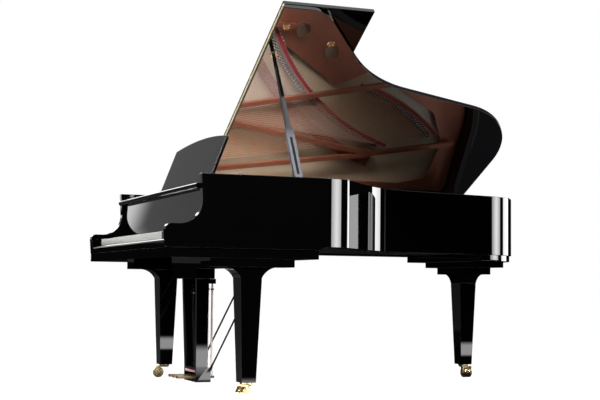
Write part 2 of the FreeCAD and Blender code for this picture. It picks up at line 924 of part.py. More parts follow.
# Music desk: runners on the rim, sliding tray, leaning desk and its stay
def make_music_desk():
    runner_low = tray_bottom - runner_height
    runners = []
    for side in (-1, 1):
        runners.append(block(side * inside, side * (inside - runner_width), front + runner_span[0],
                             front + runner_span[1], runner_low, tray_bottom))
    export("desk_runners", *runners)
    pivot = V(0, front + desk_pivot[0], desk_pivot[1])
    tray_half = inside - tray_side_gap
    tray = block(-tray_half, tray_half, front + tray_span[0], front + tray_span[1], tray_bottom, tray_top)
    lug_top = desk_pivot[1] + desk_lug_half
    for side in (-1, 1):
        near = side * (desk_half_width + rest_gap)
        far = side * (desk_half_width + rest_gap + desk_lug)
        lug = block(near, far, pivot.y - desk_lug_half, pivot.y + desk_lug_half, tray_bottom, lug_top)
        bore_radius = desk_pin_radius + running_clearance
        bore = crosswise(near - side * overrun, far + side * overrun, pivot.y, pivot.z, bore_radius)
        tray = tray.fuse(lug).cut(bore)
    foot = stay_foot(pivot)
    tray = tray.fuse(beam(0, foot.y, *stay_rest, tray_bottom, tray_top + stay_rest_height))
    export("desk_tray", tray.removeSplitter())
    export("music_desk", lean_desk(desk_panel(pivot), pivot))
    export("desk_stay", make_stay(pivot))


def lean_desk(shape, pivot):
    shape.rotate(pivot, V(1, 0, 0), -desk_lean)
    return shape


def desk_panel(pivot):
    # Drawn upright on its pivot line: arched top, round lower edge, end pins and two lugs for the stay.
    half_thick = desk_thickness / 2
    face_y = pivot.y - half_thick
    corner_z = pivot.z + desk_height
    low_left = V(-desk_half_width, face_y, pivot.z)
    low_right = V(desk_half_width, face_y, pivot.z)
    top_right = V(desk_half_width, face_y, corner_z)
    top_left = V(-desk_half_width, face_y, corner_z)
    wire = Part.Wire([
        Part.LineSegment(low_left, low_right).toShape(),
        Part.LineSegment(low_right, top_right).toShape(),
        Part.Arc(top_right, V(0, face_y, corner_z + desk_arch), top_left).toShape(),
        Part.LineSegment(top_left, low_left).toShape(),
    ])
    panel = Part.Face(wire).extrude(V(0, desk_thickness, 0))
    top_corners = [e for e in panel.Edges if e.BoundBox.YLength > half_thick
                   and abs(e.CenterOfMass.z - corner_z) < rest_gap]
    panel = panel.makeFillet(desk_corner_radius, top_corners)
    roll = crosswise(-desk_half_width, desk_half_width, pivot.y, pivot.z, half_thick)
    pin_end = desk_half_width + desk_pin_length
    pins = crosswise(-pin_end, pin_end, pivot.y, pivot.z, desk_pin_radius)
    panel = panel.multiFuse([roll, pins])
    hub_y = pivot.y + stay_offset
    hub_z = pivot.z + stay_up
    for side in (-1, 1):
        near = side * (stay_width / 2 + rest_gap)
        far = side * (stay_width / 2 + rest_gap + stay_lug)
        lug_back = hub_y + stay_thickness / 2
        lug = block(near, far, pivot.y, lug_back, hub_z - stay_thickness, hub_z + stay_thickness)
        bore_radius = stay_pin_radius + running_clearance
        bore = crosswise(near - side * overrun, far + side * overrun, hub_y, hub_z, bore_radius)
        panel = panel.fuse(lug.cut(bore))
    return panel


def stay_hub(pivot):
    # Stay's pivot after the desk leans back.
    lean = math.radians(desk_lean)
    y = pivot.y + stay_up * math.sin(lean) + stay_offset * math.cos(lean)
    z = pivot.z + stay_up * math.cos(lean) - stay_offset * math.sin(lean)
    return V(0, y, z)


def stay_foot(pivot):
    # Middle of the stay's round foot, where it stands on its rest.
    hub = stay_hub(pivot)
    foot_z = tray_top + stay_rest_height + rest_gap + stay_thickness / 2
    reach = (hub.z - foot_z) / math.tan(math.radians(stay_slope))
    return V(0, hub.y + reach, foot_z)


def make_stay(pivot):
    # Bar from the desk's back down to its rest on the tray, with a round foot.
    hub = stay_hub(pivot)
    foot = stay_foot(pivot)
    side = stay_width / 2
    bar = block(-side, side, 0, (foot - hub).Length, -stay_thickness / 2, stay_thickness / 2)
    bar.rotate(V(0, 0, 0), V(1, 0, 0), -stay_slope)
    bar.translate(hub)
    ends = [crosswise(-side, side, p.y, p.z, stay_thickness / 2) for p in (hub, foot)]
    pins = crosswise(-side - stay_pin_length, side + stay_pin_length, hub.y, hub.z, stay_pin_radius)
    return bar.multiFuse(ends + [pins])


# Lid, folded flap and their hinges
def make_lid():
    keep = block(-half, 2 * half, lid_joint + lid_joint_gap, -front + overrun, lid_bottom, lid_top)
    main = case_slab(-lid_overhang, lid_joint - overrun, lid_bottom, lid_top).common(keep)
    main = main.makeFillet(lid_edge_radius, curved_rim(main))
    barrel_room = flap_hinge_radius + rest_gap
    channel = crosswise(-half - overrun, half + overrun, flap_axis.y, flap_axis.z, barrel_room)
    main = main.cut(channel)
    flap_end = half + lid_overhang
    flap = block(-half, flap_end, front + lid_front_back, lid_joint - lid_joint_gap, lid_bottom, lid_top)
    free = [e for e in flap.Edges if e.BoundBox.ZLength < rest_gap and e.CenterOfMass.y < lid_joint - overrun]
    flap = flap.makeFillet(lid_edge_radius, free).cut(channel)
    for y in hinge_places():
        main = main.cut(hinge_room(y))
    export("lid", open_lid(main))
    flap.rotate(flap_axis, V(1, 0, 0), 180)
    export("lid_flap", open_lid(flap))
    barrel_ends = (-half + flap_hinge_inset, flap_end - flap_hinge_inset)
    barrel = crosswise(*barrel_ends, flap_axis.y, flap_axis.z, flap_hinge_radius)
    export("flap_hinge", open_lid(barrel))
    cups = [open_lid(make_cup(cup_place(shares))) for shares in cup_shares]
    export("lid_fittings", *(cups + make_spine_hinges()))
    buffers = []
    line = rim_line()
    for share in buffer_shares:
        place = line.discretize(Distance=line.Length * share)[1]
        buffers.append(upright(place.x, place.y, rim_top, lid_bottom - rest_gap, buffer_radius))
    export("lid_buffers", *buffers)


def rim_line():
    # Middle line of the outer rim in plan, from the treble end round the tail to the spine.
    side = half - rim_thickness / 2
    ends = [(V(side, front, 0), 0)], [(V(-side, front, 0), 0)]
    return outline(ends[0] + case_corners(rim_thickness / 2) + ends[1]).OuterWire


def curved_rim(main):
    # Top and bottom edges of the lid, apart from those along the flap joint and the spine.
    edges = []
    for edge in main.Edges:
        centre = edge.CenterOfMass
        flat = edge.BoundBox.ZLength < rest_gap
        if flat and centre.y > lid_joint + overrun and centre.x > -half + overrun:
            edges.append(edge)
    return edges


def make_spine_hinges():
    barrels = []
    leaves = []
    leaf_x = -half - hinge_leaf
    leaf_low = lid_axis.z + lid_hinge_radius + rest_gap
    for y in hinge_places():
        end = y + lid_hinge_length
        barrel = along_y(lid_axis.x, y, end, lid_axis.z, lid_hinge_radius)
        barrels.append(barrel.fuse(block(leaf_x, -half, y, end, rim_top - hinge_leaf_height, lid_axis.z)))
        leaves.append(open_lid(block(leaf_x, -half, y, end, leaf_low, lid_top)))
    export("spine_hinges", *barrels)
    return leaves


def cup_place(shares):
    # Point on the closed lid's underside from shares of the case's width and length.
    return V(-half + 2 * half * shares[0], front + case_length * shares[1], cup_floor)


def make_cup(place):
    low = lid_bottom - cup_height
    cup = upright(place.x, place.y, low, lid_bottom, cup_radius)
    return cup.cut(upright(place.x, place.y, low - overrun, cup_floor, cup_recess))


# Lid prop, half prop and the bracket on the rim
def cup_centre():
    return open_lid(Part.Vertex(cup_place(cup_shares[0]))).Point


def prop_line():
    foot = V(inside - prop_foot_inset, front + case_length * prop_foot_share, rim_top - prop_foot_drop)
    tip = cup_centre()
    return foot, tip


def make_prop():
    # Drawn upright from the ball foot, then leaned to the first cup in the lid.
    foot, tip = prop_line()
    length = (tip - foot).Length - rest_gap
    thin = prop_thickness / 2
    wide = prop_lower_width / 2
    slim = prop_upper_width / 2
    neck_top = prop_lower_length + prop_neck
    stick = Part.makePolygon([
        V(-thin, -slim, prop_stem_length), V(-thin, -wide, prop_neck), V(-thin, -wide, prop_lower_length),
        V(-thin, -slim, neck_top),
        V(-thin, -cup_recess / 2, length), V(-thin, cup_recess / 2, length), V(-thin, slim, neck_top),
        V(-thin, wide, prop_lower_length), V(-thin, wide, prop_neck), V(-thin, slim, prop_stem_length),
        V(-thin, -slim, prop_stem_length),
    ])
    stick = Part.Face(stick).extrude(V(prop_thickness, 0, 0))
    tip_limit = rod(V(0, 0, 0), V(0, 0, length), cup_recess - rest_gap)
    body_limit = block(-thin, thin, -wide, wide, 0, length - 2 * cup_height)
    stick = stick.common(body_limit.fuse(tip_limit))
    ball = Part.makeSphere(prop_ball_radius).fuse(rod(V(0, 0, 0), V(0, 0, prop_neck), prop_stem_radius))
    slot = block(-thin - overrun, thin + overrun, -prop_slot_width / 2, prop_slot_width / 2,
                 prop_slot_start, prop_slot_start + prop_slot_length)
    pin_z = prop_slot_start + half_prop_width
    stick = stick.fuse(ball).cut(slot)
    pin = rod(V(0, -slim, pin_z), V(0, slim, pin_z), half_prop_pin_radius)
    stick = stick.fuse(pin)
    side = (prop_slot_width - 2 * rest_gap) / 2
    reach = half_prop_thickness / 2
    short = block(-reach, reach, -side, side, pin_z, pin_z + half_prop_length)
    short = short.fuse(rod(V(0, -side, pin_z), V(0, side, pin_z), reach))
    short = short.cut(rod(V(0, -slim, pin_z), V(0, slim, pin_z), half_prop_pin_radius + running_clearance))
    turn = FreeCAD.Rotation(V(0, 0, 1), tip - foot)
    for name, shape in (("lid_prop", stick), ("half_prop", short)):
        shape.Placement = FreeCAD.Placement(foot, turn)
        export(name, shape)
    dish_top = foot.z - prop_thickness / 2 - rest_gap
    dish_low = dish_top - prop_dish_height
    dish = upright(foot.x, foot.y, dish_low, dish_top, prop_dish_radius)
    arm = block(foot.x, inside, foot.y - prop_bracket_width / 2, foot.y + prop_bracket_width / 2,
                dish_low, dish_top - prop_dish_height / 2)
    dish = dish.fuse(arm).cut(Part.makeSphere(prop_ball_radius + rest_gap, foot))
    export("prop_bracket", dish)


# Legs
def make_leg(x, y, top_z, along_x):
    # Haunch plate, curved flares and a tapered square shaft, drawn with the haunch along Y.
    flare_top = top_z - haunch_thickness
    shaft_top = flare_top - flare_height
    haunch = tail_haunch if along_x else front_haunch
    top_size = leg_top_size[::-1] if along_x else leg_top_size
    bottom_size = leg_bottom_size[::-1] if along_x else leg_bottom_size
    plate = beam(0, 0, *haunch, flare_top, top_z)
    width, depth = top_size
    slope = math.hypot(flare_lean, flare_height)
    turn = math.atan2(flare_height, flare_lean)
    round_radius = flare_round_share * slope / math.tan(turn / 2)
    lean = depth / 2 + flare_lean
    wide = lean + slope
    flare = side_profile([
        (-depth / 2, shaft_top, 0),
        (depth / 2, shaft_top, 0),
        (lean, flare_top, round_radius),
        (wide, flare_top, 0),
        (wide, top_z, 0),
        (-wide, top_z, 0),
        (-wide, flare_top, 0),
        (-lean, flare_top, round_radius),
    ], -width / 2, width / 2)

    def ring(size, z):
        a = size[0] / 2
        b = size[1] / 2
        points = [V(-a, -b, z), V(a, -b, z), V(a, b, z), V(-a, b, z)]
        return Part.makePolygon(points + points[:1])

    shaft = Part.makeLoft([ring(bottom_size, leg_bottom), ring(top_size, shaft_top)], True, True)
    leg = plate.multiFuse([flare, shaft])
    if along_x:
        leg.rotate(V(0, 0, 0), V(0, 0, 1), 90)
    leg.translate(V(x, y, 0))
    return leg


def leg_places():
    return (
        ("bass", V(front_leg_inset - half, front + front_leg_back, 0)),
        ("treble", V(half - front_leg_inset, front + front_leg_back, 0)),
        ("tail", plan(tail_leg_shares)),
    )


def make_legs():
    for name, place in leg_places():
        on_tail = name == "tail"
        top = tail_board_bottom - tail_plate_thickness if on_tail else keybed_bottom
        leg = make_leg(place.x, place.y, top, on_tail)
        if on_tail:
            leg = leg.fuse(beam(place.x, place.y, *tail_plate, top, tail_board_bottom))
        export("leg_" + name, leg.removeSplitter())


# Casters
def make_casters():
    sockets = []
    disc_top = leg_bottom - socket_height - rest_gap
    for (name, place), turn in zip(leg_places(), caster_turns):
        socket = upright(place.x, place.y, leg_bottom - socket_height, leg_bottom, socket_radius)
        bore_low = leg_bottom - socket_height - overrun
        bore = upright(place.x, place.y, bore_low, leg_bottom, swivel_pin_radius + running_clearance)
        sockets.append(socket.cut(bore))
        for node, shape in (("caster_fork_", make_fork(disc_top)), ("caster_wheels_", make_wheels())):
            shape.rotate(V(0, 0, 0), V(0, 0, 1), turn)
            shape.translate(place)
            export(node + name, shape)
    export("caster_sockets", *sockets)


def fork_sides():
    # Inner and outer face of the fork's cheeks, from its middle.
    inner = wheel_gap / 2 + wheel_width + fork_side_gap
    return inner, inner + fork_cheek


def make_fork(disc_top):
    # Swivel disc and pin over a yoke whose two cheeks hold the axle, trailing along X.
    inner, outer = fork_sides()
    low = disc_top - swivel_disc_height
    near = caster_trail - fork_eye_radius
    far = caster_trail + fork_eye_radius
    disc = upright(0, 0, low, disc_top, swivel_disc_radius)
    pin = upright(0, 0, disc_top, leg_bottom - rest_gap, swivel_pin_radius)
    points = [
        V(0, -swivel_disc_radius, low), V(near, -outer, low), V(far, -outer, low),
        V(far, outer, low), V(near, outer, low), V(0, swivel_disc_radius, low),
    ]
    bridge = Part.Face(Part.makePolygon(points + points[:1])).extrude(V(0, 0, swivel_disc_height))
    pieces = [pin, bridge]
    for y0, y1 in ((-outer, -inner), (inner, outer)):
        pieces.append(block(near, far, y0, y1, wheel_radius, low))
        pieces.append(along_y(caster_trail, y0, y1, wheel_radius, fork_eye_radius))
    hole_radius = axle_radius + running_clearance
    hole = along_y(caster_trail, -outer - overrun, outer + overrun, wheel_radius, hole_radius)
    return disc.multiFuse(pieces).cut(hole).removeSplitter()


def make_wheels():
    # Two wheels on one axle that runs through the fork's cheeks.
    near = wheel_gap / 2
    far = near + wheel_width
    outer = fork_sides()[1]
    wheels = along_y(caster_trail, -outer, outer, wheel_radius, axle_radius)
    for start, end in ((-far, -near), (near, far)):
        wheel = along_y(caster_trail, start, end, wheel_radius, wheel_radius)
        wheels = wheels.fuse(wheel.makeChamfer(wheel_edge, [e for e in wheel.Edges if e.Closed]))
    return wheels


# Pedal lyre with pedals, lifting rods and braces
def make_lyre():
    y0 = front + lyre_span[0]
    y1 = front + lyre_span[1]
    top_low = keybed_bottom - lyre_top_height
    head = block(-lyre_top_half, lyre_top_half, y0, y1, top_low, keybed_bottom)
    bar_half = half - front_leg_inset - front_haunch[0] / 2 - rest_gap
    bar = block(-bar_half, bar_half, y0, y1, keybed_bottom - lyre_bar_height, keybed_bottom)
    guide = block(-lyre_guide_half, lyre_guide_half, front + lyre_guide_span[0],
                  front + lyre_guide_span[1], top_low - lyre_guide_height, top_low)
    box_y0 = front + lyre_box_span[0]
    box_y1 = front + lyre_box_span[1]
    box = block(-lyre_box_half, lyre_box_half, box_y0, box_y1, lyre_box_bottom, lyre_box_top)
    room_half = lyre_box_half - lyre_box_wall
    box = box.cut(block(-room_half, room_half, box_y0 - overrun, box_y1 + overrun,
                        lyre_box_bottom + lyre_box_wall, lyre_box_top - lyre_box_wall))
    for x in pedal_xs():
        guide = guide.cut(upright(x, front + rod_back, lyre_box_top, keybed_top, rod_radius + rod_room))
    posts = [lyre_post(side, box_y0, top_low) for side in (-1, 1)]
    axle_y = front + pedal_axle_back
    axle_half = lyre_box_half - lyre_box_wall / 2
    axle = crosswise(-axle_half, axle_half, axle_y, pedal_axle_z, pedal_axle_radius)
    export("lyre", head.multiFuse(posts + [bar, guide, box, axle]).removeSplitter())
    for name, x in zip(("soft", "sostenuto", "damper"), pedal_xs()):
        export("pedal_" + name, make_pedal(x, axle_y))
        rod_bottom = pedal_axle_z + pedal_thickness / 2 + rest_gap
        export("pedal_rod_" + name, upright(x, front + rod_back, rod_bottom, rod_top, rod_radius))
    braces = []
    for side in (-1, 1):
        start = V(side * brace_x, box_y1, brace_foot_z)
        end = V(side * brace_x, front + brace_top_back, keybed_bottom)
        along = (end - start).normalize() * (2 * overrun)
        long_rod = rod(start - along, end + along, brace_radius)
        room = block(-half, half, box_y1, keybed_back, lyre_box_bottom, keybed_bottom)
        braces.append(long_rod.common(room))
    export("lyre_braces", *braces)


def lyre_post(side, foot_y, top_z):
    # Thin plate that narrows from the head down to the end of the box.
    def ring(far, y0, y1, z):
        near = far - lyre_post_width
        points = [V(side * near, y0, z), V(side * far, y0, z), V(side * far, y1, z), V(side * near, y1, z)]
        return Part.makePolygon(points + points[:1])

    top_y = [front + back for back in lyre_post_top_span]
    foot = ring(lyre_box_half, foot_y, front + lyre_post_foot_back, lyre_box_top)
    return Part.makeLoft([foot, ring(lyre_post_top_half, *top_y, top_z)], True, True)


def make_pedal(x, axle_y):
    # Flat lever with a wide rounded pad in front and a narrow stem over the axle.
    tip = front + pedal_tip_back
    pad = tip + pedal_pad_length
    wide = pedal_tip_width / 2
    slim = pedal_stem_width / 2
    z0 = pedal_axle_z - pedal_thickness / 2
    face = outline([
        (V(x - wide, tip, z0), wide * pedal_round_share),
        (V(x + wide, tip, z0), wide * pedal_round_share),
        (V(x + wide, pad, z0), 0),
        (V(x + slim, pad + pedal_tip_width, z0), 0),
        (V(x + slim, front + pedal_tail_back, z0), 0),
        (V(x - slim, front + pedal_tail_back, z0), 0),
        (V(x - slim, pad + pedal_tip_width, z0), 0),
        (V(x - wide, pad, z0), 0),
    ])
    lever = face.extrude(V(0, 0, pedal_thickness))
    bore_radius = pedal_axle_radius + running_clearance
    return lever.cut(crosswise(x - overrun, x + overrun, axle_y, pedal_axle_z, bore_radius))


make_outer_rim()
make_case_frame()
make_soundboard()
make_plate()
make_strings()
make_dampers()
make_keys()
make_key_frame()
make_action()
make_key_well()
make_music_desk()
make_lid()
make_prop()
make_legs()
make_casters()
make_lyre()
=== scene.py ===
import json
import math
import bmesh
import bpy
from mathutils import Matrix, Vector

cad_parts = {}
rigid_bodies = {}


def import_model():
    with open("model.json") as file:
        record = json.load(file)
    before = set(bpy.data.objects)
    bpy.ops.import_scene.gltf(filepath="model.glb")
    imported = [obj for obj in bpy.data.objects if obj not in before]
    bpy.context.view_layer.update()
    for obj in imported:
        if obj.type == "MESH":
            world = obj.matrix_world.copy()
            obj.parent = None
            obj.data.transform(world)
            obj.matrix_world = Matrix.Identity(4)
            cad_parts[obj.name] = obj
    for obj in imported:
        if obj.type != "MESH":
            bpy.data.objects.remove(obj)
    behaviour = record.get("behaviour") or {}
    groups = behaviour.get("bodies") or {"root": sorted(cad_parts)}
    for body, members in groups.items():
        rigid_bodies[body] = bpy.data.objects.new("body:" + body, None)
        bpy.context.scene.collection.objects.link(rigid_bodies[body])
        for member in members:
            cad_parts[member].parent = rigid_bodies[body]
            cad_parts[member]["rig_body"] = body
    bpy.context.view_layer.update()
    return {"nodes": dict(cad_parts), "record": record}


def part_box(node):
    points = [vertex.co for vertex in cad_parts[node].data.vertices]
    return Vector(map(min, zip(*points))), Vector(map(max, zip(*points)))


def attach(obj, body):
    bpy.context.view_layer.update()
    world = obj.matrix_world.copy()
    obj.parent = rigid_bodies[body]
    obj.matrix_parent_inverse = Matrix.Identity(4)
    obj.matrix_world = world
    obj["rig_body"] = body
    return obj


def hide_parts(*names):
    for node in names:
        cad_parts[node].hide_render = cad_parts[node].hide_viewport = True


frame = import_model()
cad = frame["nodes"]
scene = bpy.context.scene
slotOf = {part["node"]: part["material_slot"] for part in frame["record"]["subparts"]}
front = -1.135                                  # keyboard end of the case
corners = ("bass", "treble", "tail")
pedals = ("soft", "sostenuto", "damper")
print("frame loaded,", len(cad), "nodes")


# shader sums

class Term:                                     # a socket that can stand in a sum
    def __init__(self, tree, socket):
        self.tree = tree
        self.socket = socket

    def node(self, kind, settings=None, sockets=None, out=0):
        made = self.tree.nodes.new(kind)
        for key, value in (settings or {}).items():
            if key == "stops":
                ramp = made.color_ramp.elements
                while len(ramp) < len(value):
                    ramp.new(0.5)
                for stop, (at, colour) in zip(ramp, value):
                    stop.position = at
                    stop.color = (*colour, 1.0)
            else:
                setattr(made, key, value)
        for key, value in (sockets or {}).items():
            feed(self.tree, made.inputs[key], value)
        return Term(self.tree, made.outputs[out])

    def calc(self, operation, left, right):
        return self.node("ShaderNodeMath", {"operation": operation}, {0: left, 1: right})

    def __add__(self, other):
        return self.calc("ADD", self, other)

    def __rsub__(self, other):
        return self.calc("SUBTRACT", other, self)

    def __mul__(self, other):
        return self.calc("MULTIPLY", self, other)

    def __pow__(self, other):
        return self.calc("POWER", self, other)

    def __gt__(self, other):
        return self.calc("GREATER_THAN", self, other)

    __radd__ = __add__
    __rmul__ = __mul__

    def turned(self, scale=(1, 1, 1), rotation=(0, 0, 0)):
        return self.node("ShaderNodeMapping", None, {"Vector": self, "Scale": scale, "Rotation": rotation})

    def noise(self, scale, detail=2.0, rough=0.5):
        return self.node("ShaderNodeTexNoise", None, {"Vector": self, "Scale": scale, "Detail": detail,
                                                      "Roughness": rough})

    def axis(self, index):
        return self.node("ShaderNodeSeparateXYZ", None, {0: self}, index)

    def ramp(self, *stops):
        return self.node("ShaderNodeValToRGB", {"stops": stops}, {0: self})

    def stepped(self, low, high):               # 0 below low, 1 above high
        return self.node("ShaderNodeMapRange", {"interpolation_type": "SMOOTHSTEP"},
                         {"Value": self, "From Min": low, "From Max": high})

    def mixed(self, dark, light):               # colours by this factor
        return self.node("ShaderNodeMix", {"data_type": "RGBA"}, {0: self, 6: dark, 7: light}, 2)

    def bump(self, strength, distance):
        return self.node("ShaderNodeBump", None, {"Strength": strength, "Distance": distance, "Height": self})


def feed(tree, socket, value):
    if isinstance(value, Term):
        tree.links.new(value.socket, socket)
    elif socket.type == "RGBA" and len(value) == 3:
        socket.default_value = (*value, 1.0)
    else:
        socket.default_value = value


def makeFinish(name, recipe, **constants):
    finish = bpy.data.materials.new(name)
    finish.use_nodes = True
    tree = finish.node_tree
    shader = tree.nodes["Principled BSDF"]
    for key, value in constants.items():
        feed(tree, shader.inputs[key.replace("_", " ")], value)
    place = tree.nodes.new("ShaderNodeTexCoord").outputs["Object"]
    for key, value in recipe(Term(tree, place)).items():
        feed(tree, shader.inputs[key], value)
    return finish


# finishes

lacquer = {"colour": (0.0002, 0.0002, 0.00025), "haze": 0.025, "peel": 0.012}


def lacquerRecipe(place):
    haze = place.noise(7.0, 5.0)
    wipe = place.turned(scale=(3, 60, 60)).noise(4.0, 3.0)
    peel = place.noise(160.0, 1.0)
    return {"Base Color": haze.mixed(lacquer["colour"], (0.0005, 0.0005, 0.0006)),
            "Roughness": 0.012 + haze * wipe * lacquer["haze"],
            "Normal": peel.bump(lacquer["peel"], 0.0002)}


def propRecipe(place):
    haze = place.noise(40.0, 3.0)
    paintedSheen = 1 - place.axis(2).stepped(1.18, 1.30)                    # painted reflection: lighter grey sheen on the broad foot of the prop
    return {"Base Color": (paintedSheen * (0.7 + haze * 0.3)).mixed((0.001, 0.001, 0.001), (0.055, 0.055, 0.062)),
            "Roughness": 0.03 + haze * 0.06}


def mirrorRecipe(place):
    haze = place.noise(5.0, 4.0)
    return {"Base Color": haze.mixed((0.0015, 0.0015, 0.0015), (0.004, 0.0035, 0.0035)),
            "Roughness": 0.008 + haze * 0.012}


def satinRecipe(place):
    grain = place.noise(90.0, 3.0)
    return {"Base Color": grain.mixed((0.012, 0.012, 0.013), (0.03, 0.03, 0.031)),
            "Roughness": 0.32 + grain * 0.16,
            "Normal": grain.bump(0.08, 0.0006)}


def woodRecipe(place):
    along = place.turned(scale=(1.0, 14.0, 14.0))
    figure = along.noise(5.0, 6.0, 0.6)
    pores = place.turned(scale=(8.0, 160.0, 160.0)).noise(3.0, 2.0)
    return {"Base Color": figure.ramp((0.30, (0.30, 0.19, 0.10)), (0.55, (0.50, 0.35, 0.20)),
                                      (0.75, (0.62, 0.46, 0.28))),
            "Roughness": 0.42 + pores * 0.2,
            "Normal": pores.bump(0.12, 0.0006)}


def spruceRecipe(place):
    run = place.turned(rotation=(0, 0, math.radians(40)))
    drift = run.turned(scale=(0.6, 3.0, 1.0)).noise(2.0, 3.0)
    rings = run.axis(1) * 900.0 + drift * 9.0
    lines = rings.calc("SINE", rings, 0.0) * 0.5 + 0.5
    silk = run.turned(scale=(4.0, 90.0, 1.0)).noise(3.0, 3.0)
    tone = lines ** 3.0 * 0.4 + silk * 0.5
    return {"Base Color": tone.ramp((0.10, (0.74, 0.60, 0.43)), (0.45, (0.66, 0.51, 0.34)),
                                    (0.85, (0.50, 0.35, 0.20))),
            "Roughness": 0.22 + silk * 0.14,
            "Normal": lines.bump(0.05, 0.0004)}


def mapleRecipe(place):
    grain = place.turned(scale=(30.0, 6.0, 60.0), rotation=(0, 0, 0.9)).noise(5.0, 4.0)
    height = place.axis(2)
    black = height.stepped(0.8980, 0.8984)                          # graphite on the crown
    return {"Base Color": black.mixed(grain.ramp((0.3, (0.20, 0.10, 0.045)), (0.7, (0.42, 0.25, 0.12))),
                                      (0.012, 0.012, 0.013)),
            "Roughness": 0.35 + grain * 0.2,
            "Normal": grain.bump(0.10, 0.0005)}


def notchRecipe(place):
    grain = place.turned(scale=(30.0, 6.0, 60.0), rotation=(0, 0, 0.9)).noise(9.0, 4.0)
    return {"Base Color": grain.mixed((0.55, 0.47, 0.38), (0.78, 0.70, 0.60)),
            "Roughness": 0.4 + grain * 0.2,
            "Normal": grain.bump(0.10, 0.0005)}


def bronzeRecipe(place):
    cast = place.noise(260.0, 3.0, 0.6)
    cloud = place.noise(3.5, 4.0)
    flake = place.noise(1400.0, 1.0)
    return {"Base Color": cloud.ramp((0.30, (0.34, 0.115, 0.065)), (0.60, (0.45, 0.155, 0.09)),
                                     (0.80, (0.54, 0.195, 0.115))),
            "Metallic": 0.35 + flake * 0.35,
            "Roughness": 0.30 + cast * 0.20,
            "Normal": cast.bump(0.10, 0.0008)}


def steelRecipe(place):
    scratch = place.turned(scale=(40.0, 40.0, 900.0)).noise(2.0, 2.0)
    return {"Base Color": scratch.mixed((0.50, 0.50, 0.52), (0.72, 0.72, 0.74)),
            "Roughness": 0.16 + scratch * 0.16}


def wireRecipe(place):
    drawn = place.turned(scale=(300.0, 6.0, 300.0)).noise(3.0, 2.0)
    # painted reflection: the pink tint and light tone stand in for the bronze plate mirrored in the strings
    return {"Base Color": drawn.mixed((0.74, 0.60, 0.54), (0.94, 0.82, 0.76)),
            "Roughness": 0.34 + drawn * 0.12}


def windingRecipe(place):
    turns = place.axis(1) * 5200.0
    coil = turns.calc("SINE", turns, 0.0) * 0.5 + 0.5
    tarnish = place.noise(24.0, 3.0)
    return {"Base Color": tarnish.mixed((0.46, 0.20, 0.10), (0.78, 0.42, 0.25)),
            "Roughness": 0.26 + tarnish * 0.16,
            "Normal": coil.bump(0.35, 0.0004)}


def brassRecipe(place):
    tarnish = place.noise(38.0, 4.0)
    brushed = place.turned(scale=(260.0, 60.0, 260.0)).noise(2.0, 2.0)
    return {"Base Color": tarnish.mixed((0.74, 0.55, 0.28), (0.94, 0.78, 0.48)),
            "Roughness": 0.12 + tarnish * 0.14 + brushed * 0.06,
            "Normal": brushed.bump(0.03, 0.0002)}


def pedalRecipe(place):
    tarnish = place.noise(38.0, 4.0)
    lighterToe = 1 - place.axis(1).stepped(front + 0.262, front + 0.330)  # lighter towards the toe
    # painted shade: the pedals get a darker brass than the other brass parts
    shadedBrass = tarnish.mixed((0.17, 0.12, 0.055), (0.28, 0.20, 0.10))
    return {"Base Color": (lighterToe * 0.5).mixed(shadedBrass, (0.50, 0.38, 0.20)),
            "Roughness": 0.28 + tarnish * 0.16}


def ivoryRecipe(place):
    streak = place.turned(scale=(60.0, 3.0, 60.0)).noise(3.0, 3.0)
    top = place.axis(2).stepped(0.7396, 0.7400)                     # covering over the wooden stick
    behind = place.axis(1).stepped(front + 0.0232, front + 0.0236)
    inside = place.axis(1).stepped(front + 0.050, front + 0.054)
    grain = place.turned(scale=(90.0, 4.0, 90.0)).noise(4.0, 3.0)
    stick = grain.mixed((0.52, 0.37, 0.22), (0.66, 0.50, 0.32))
    # painted shade: the fronts of the keys get a darker grey than their tops
    shadedFront = streak.mixed((0.20, 0.20, 0.18), (0.27, 0.265, 0.245))
    cover = behind.mixed(shadedFront, streak.mixed((0.62, 0.61, 0.57), (0.72, 0.71, 0.67)))
    wooden = inside * (1 - top)
    cover = (place.axis(0) > 0.6098).mixed(cover, (0.02, 0.02, 0.02))      # shaded end of the last key
    return {"Base Color": wooden.mixed(cover, stick),
            "Roughness": 0.14 + streak * 0.10 + wooden * 0.3}


def ebonyRecipe(place):
    grain = place.turned(scale=(300.0, 20.0, 300.0)).noise(3.0, 3.0)
    return {"Base Color": grain.mixed((0.010, 0.010, 0.010), (0.026, 0.025, 0.024)),
            "Roughness": 0.24 + grain * 0.18,
            "Normal": grain.bump(0.10, 0.0003)}


def hammerRecipe(place):
    fuzz = place.noise(900.0, 3.0)
    grain = place.turned(scale=(30.0, 6.0, 120.0)).noise(12.0, 3.0)
    head = place.axis(1) > front + 0.452
    wood = grain.mixed((0.50, 0.33, 0.18), (0.66, 0.48, 0.29))
    felt = fuzz.mixed((0.74, 0.71, 0.64), (0.88, 0.86, 0.80))
    return {"Base Color": head.mixed(wood, felt),
            "Roughness": 0.45 + head * 0.45,
            "Normal": fuzz.bump(0.25, 0.0006)}


def damperRecipe(place):
    fuzz = place.noise(900.0, 3.0)
    height = place.axis(2)
    wood = height.stepped(0.9085, 0.9090)
    body = wood.mixed((0.80, 0.77, 0.70), (0.012, 0.012, 0.012))
    return {"Base Color": (fuzz * 0.25).mixed(body, (0.03, 0.03, 0.03)),
            "Roughness": 0.35 + fuzz * 0.25,
            "Normal": fuzz.bump(0.15, 0.0005)}


def rubberRecipe(place):
    grain = place.noise(500.0, 2.0)
    return {"Base Color": grain.mixed((0.018, 0.018, 0.018), (0.04, 0.04, 0.04)),
            "Roughness": 0.6 + grain * 0.2, "Normal": grain.bump(0.2, 0.0005)}


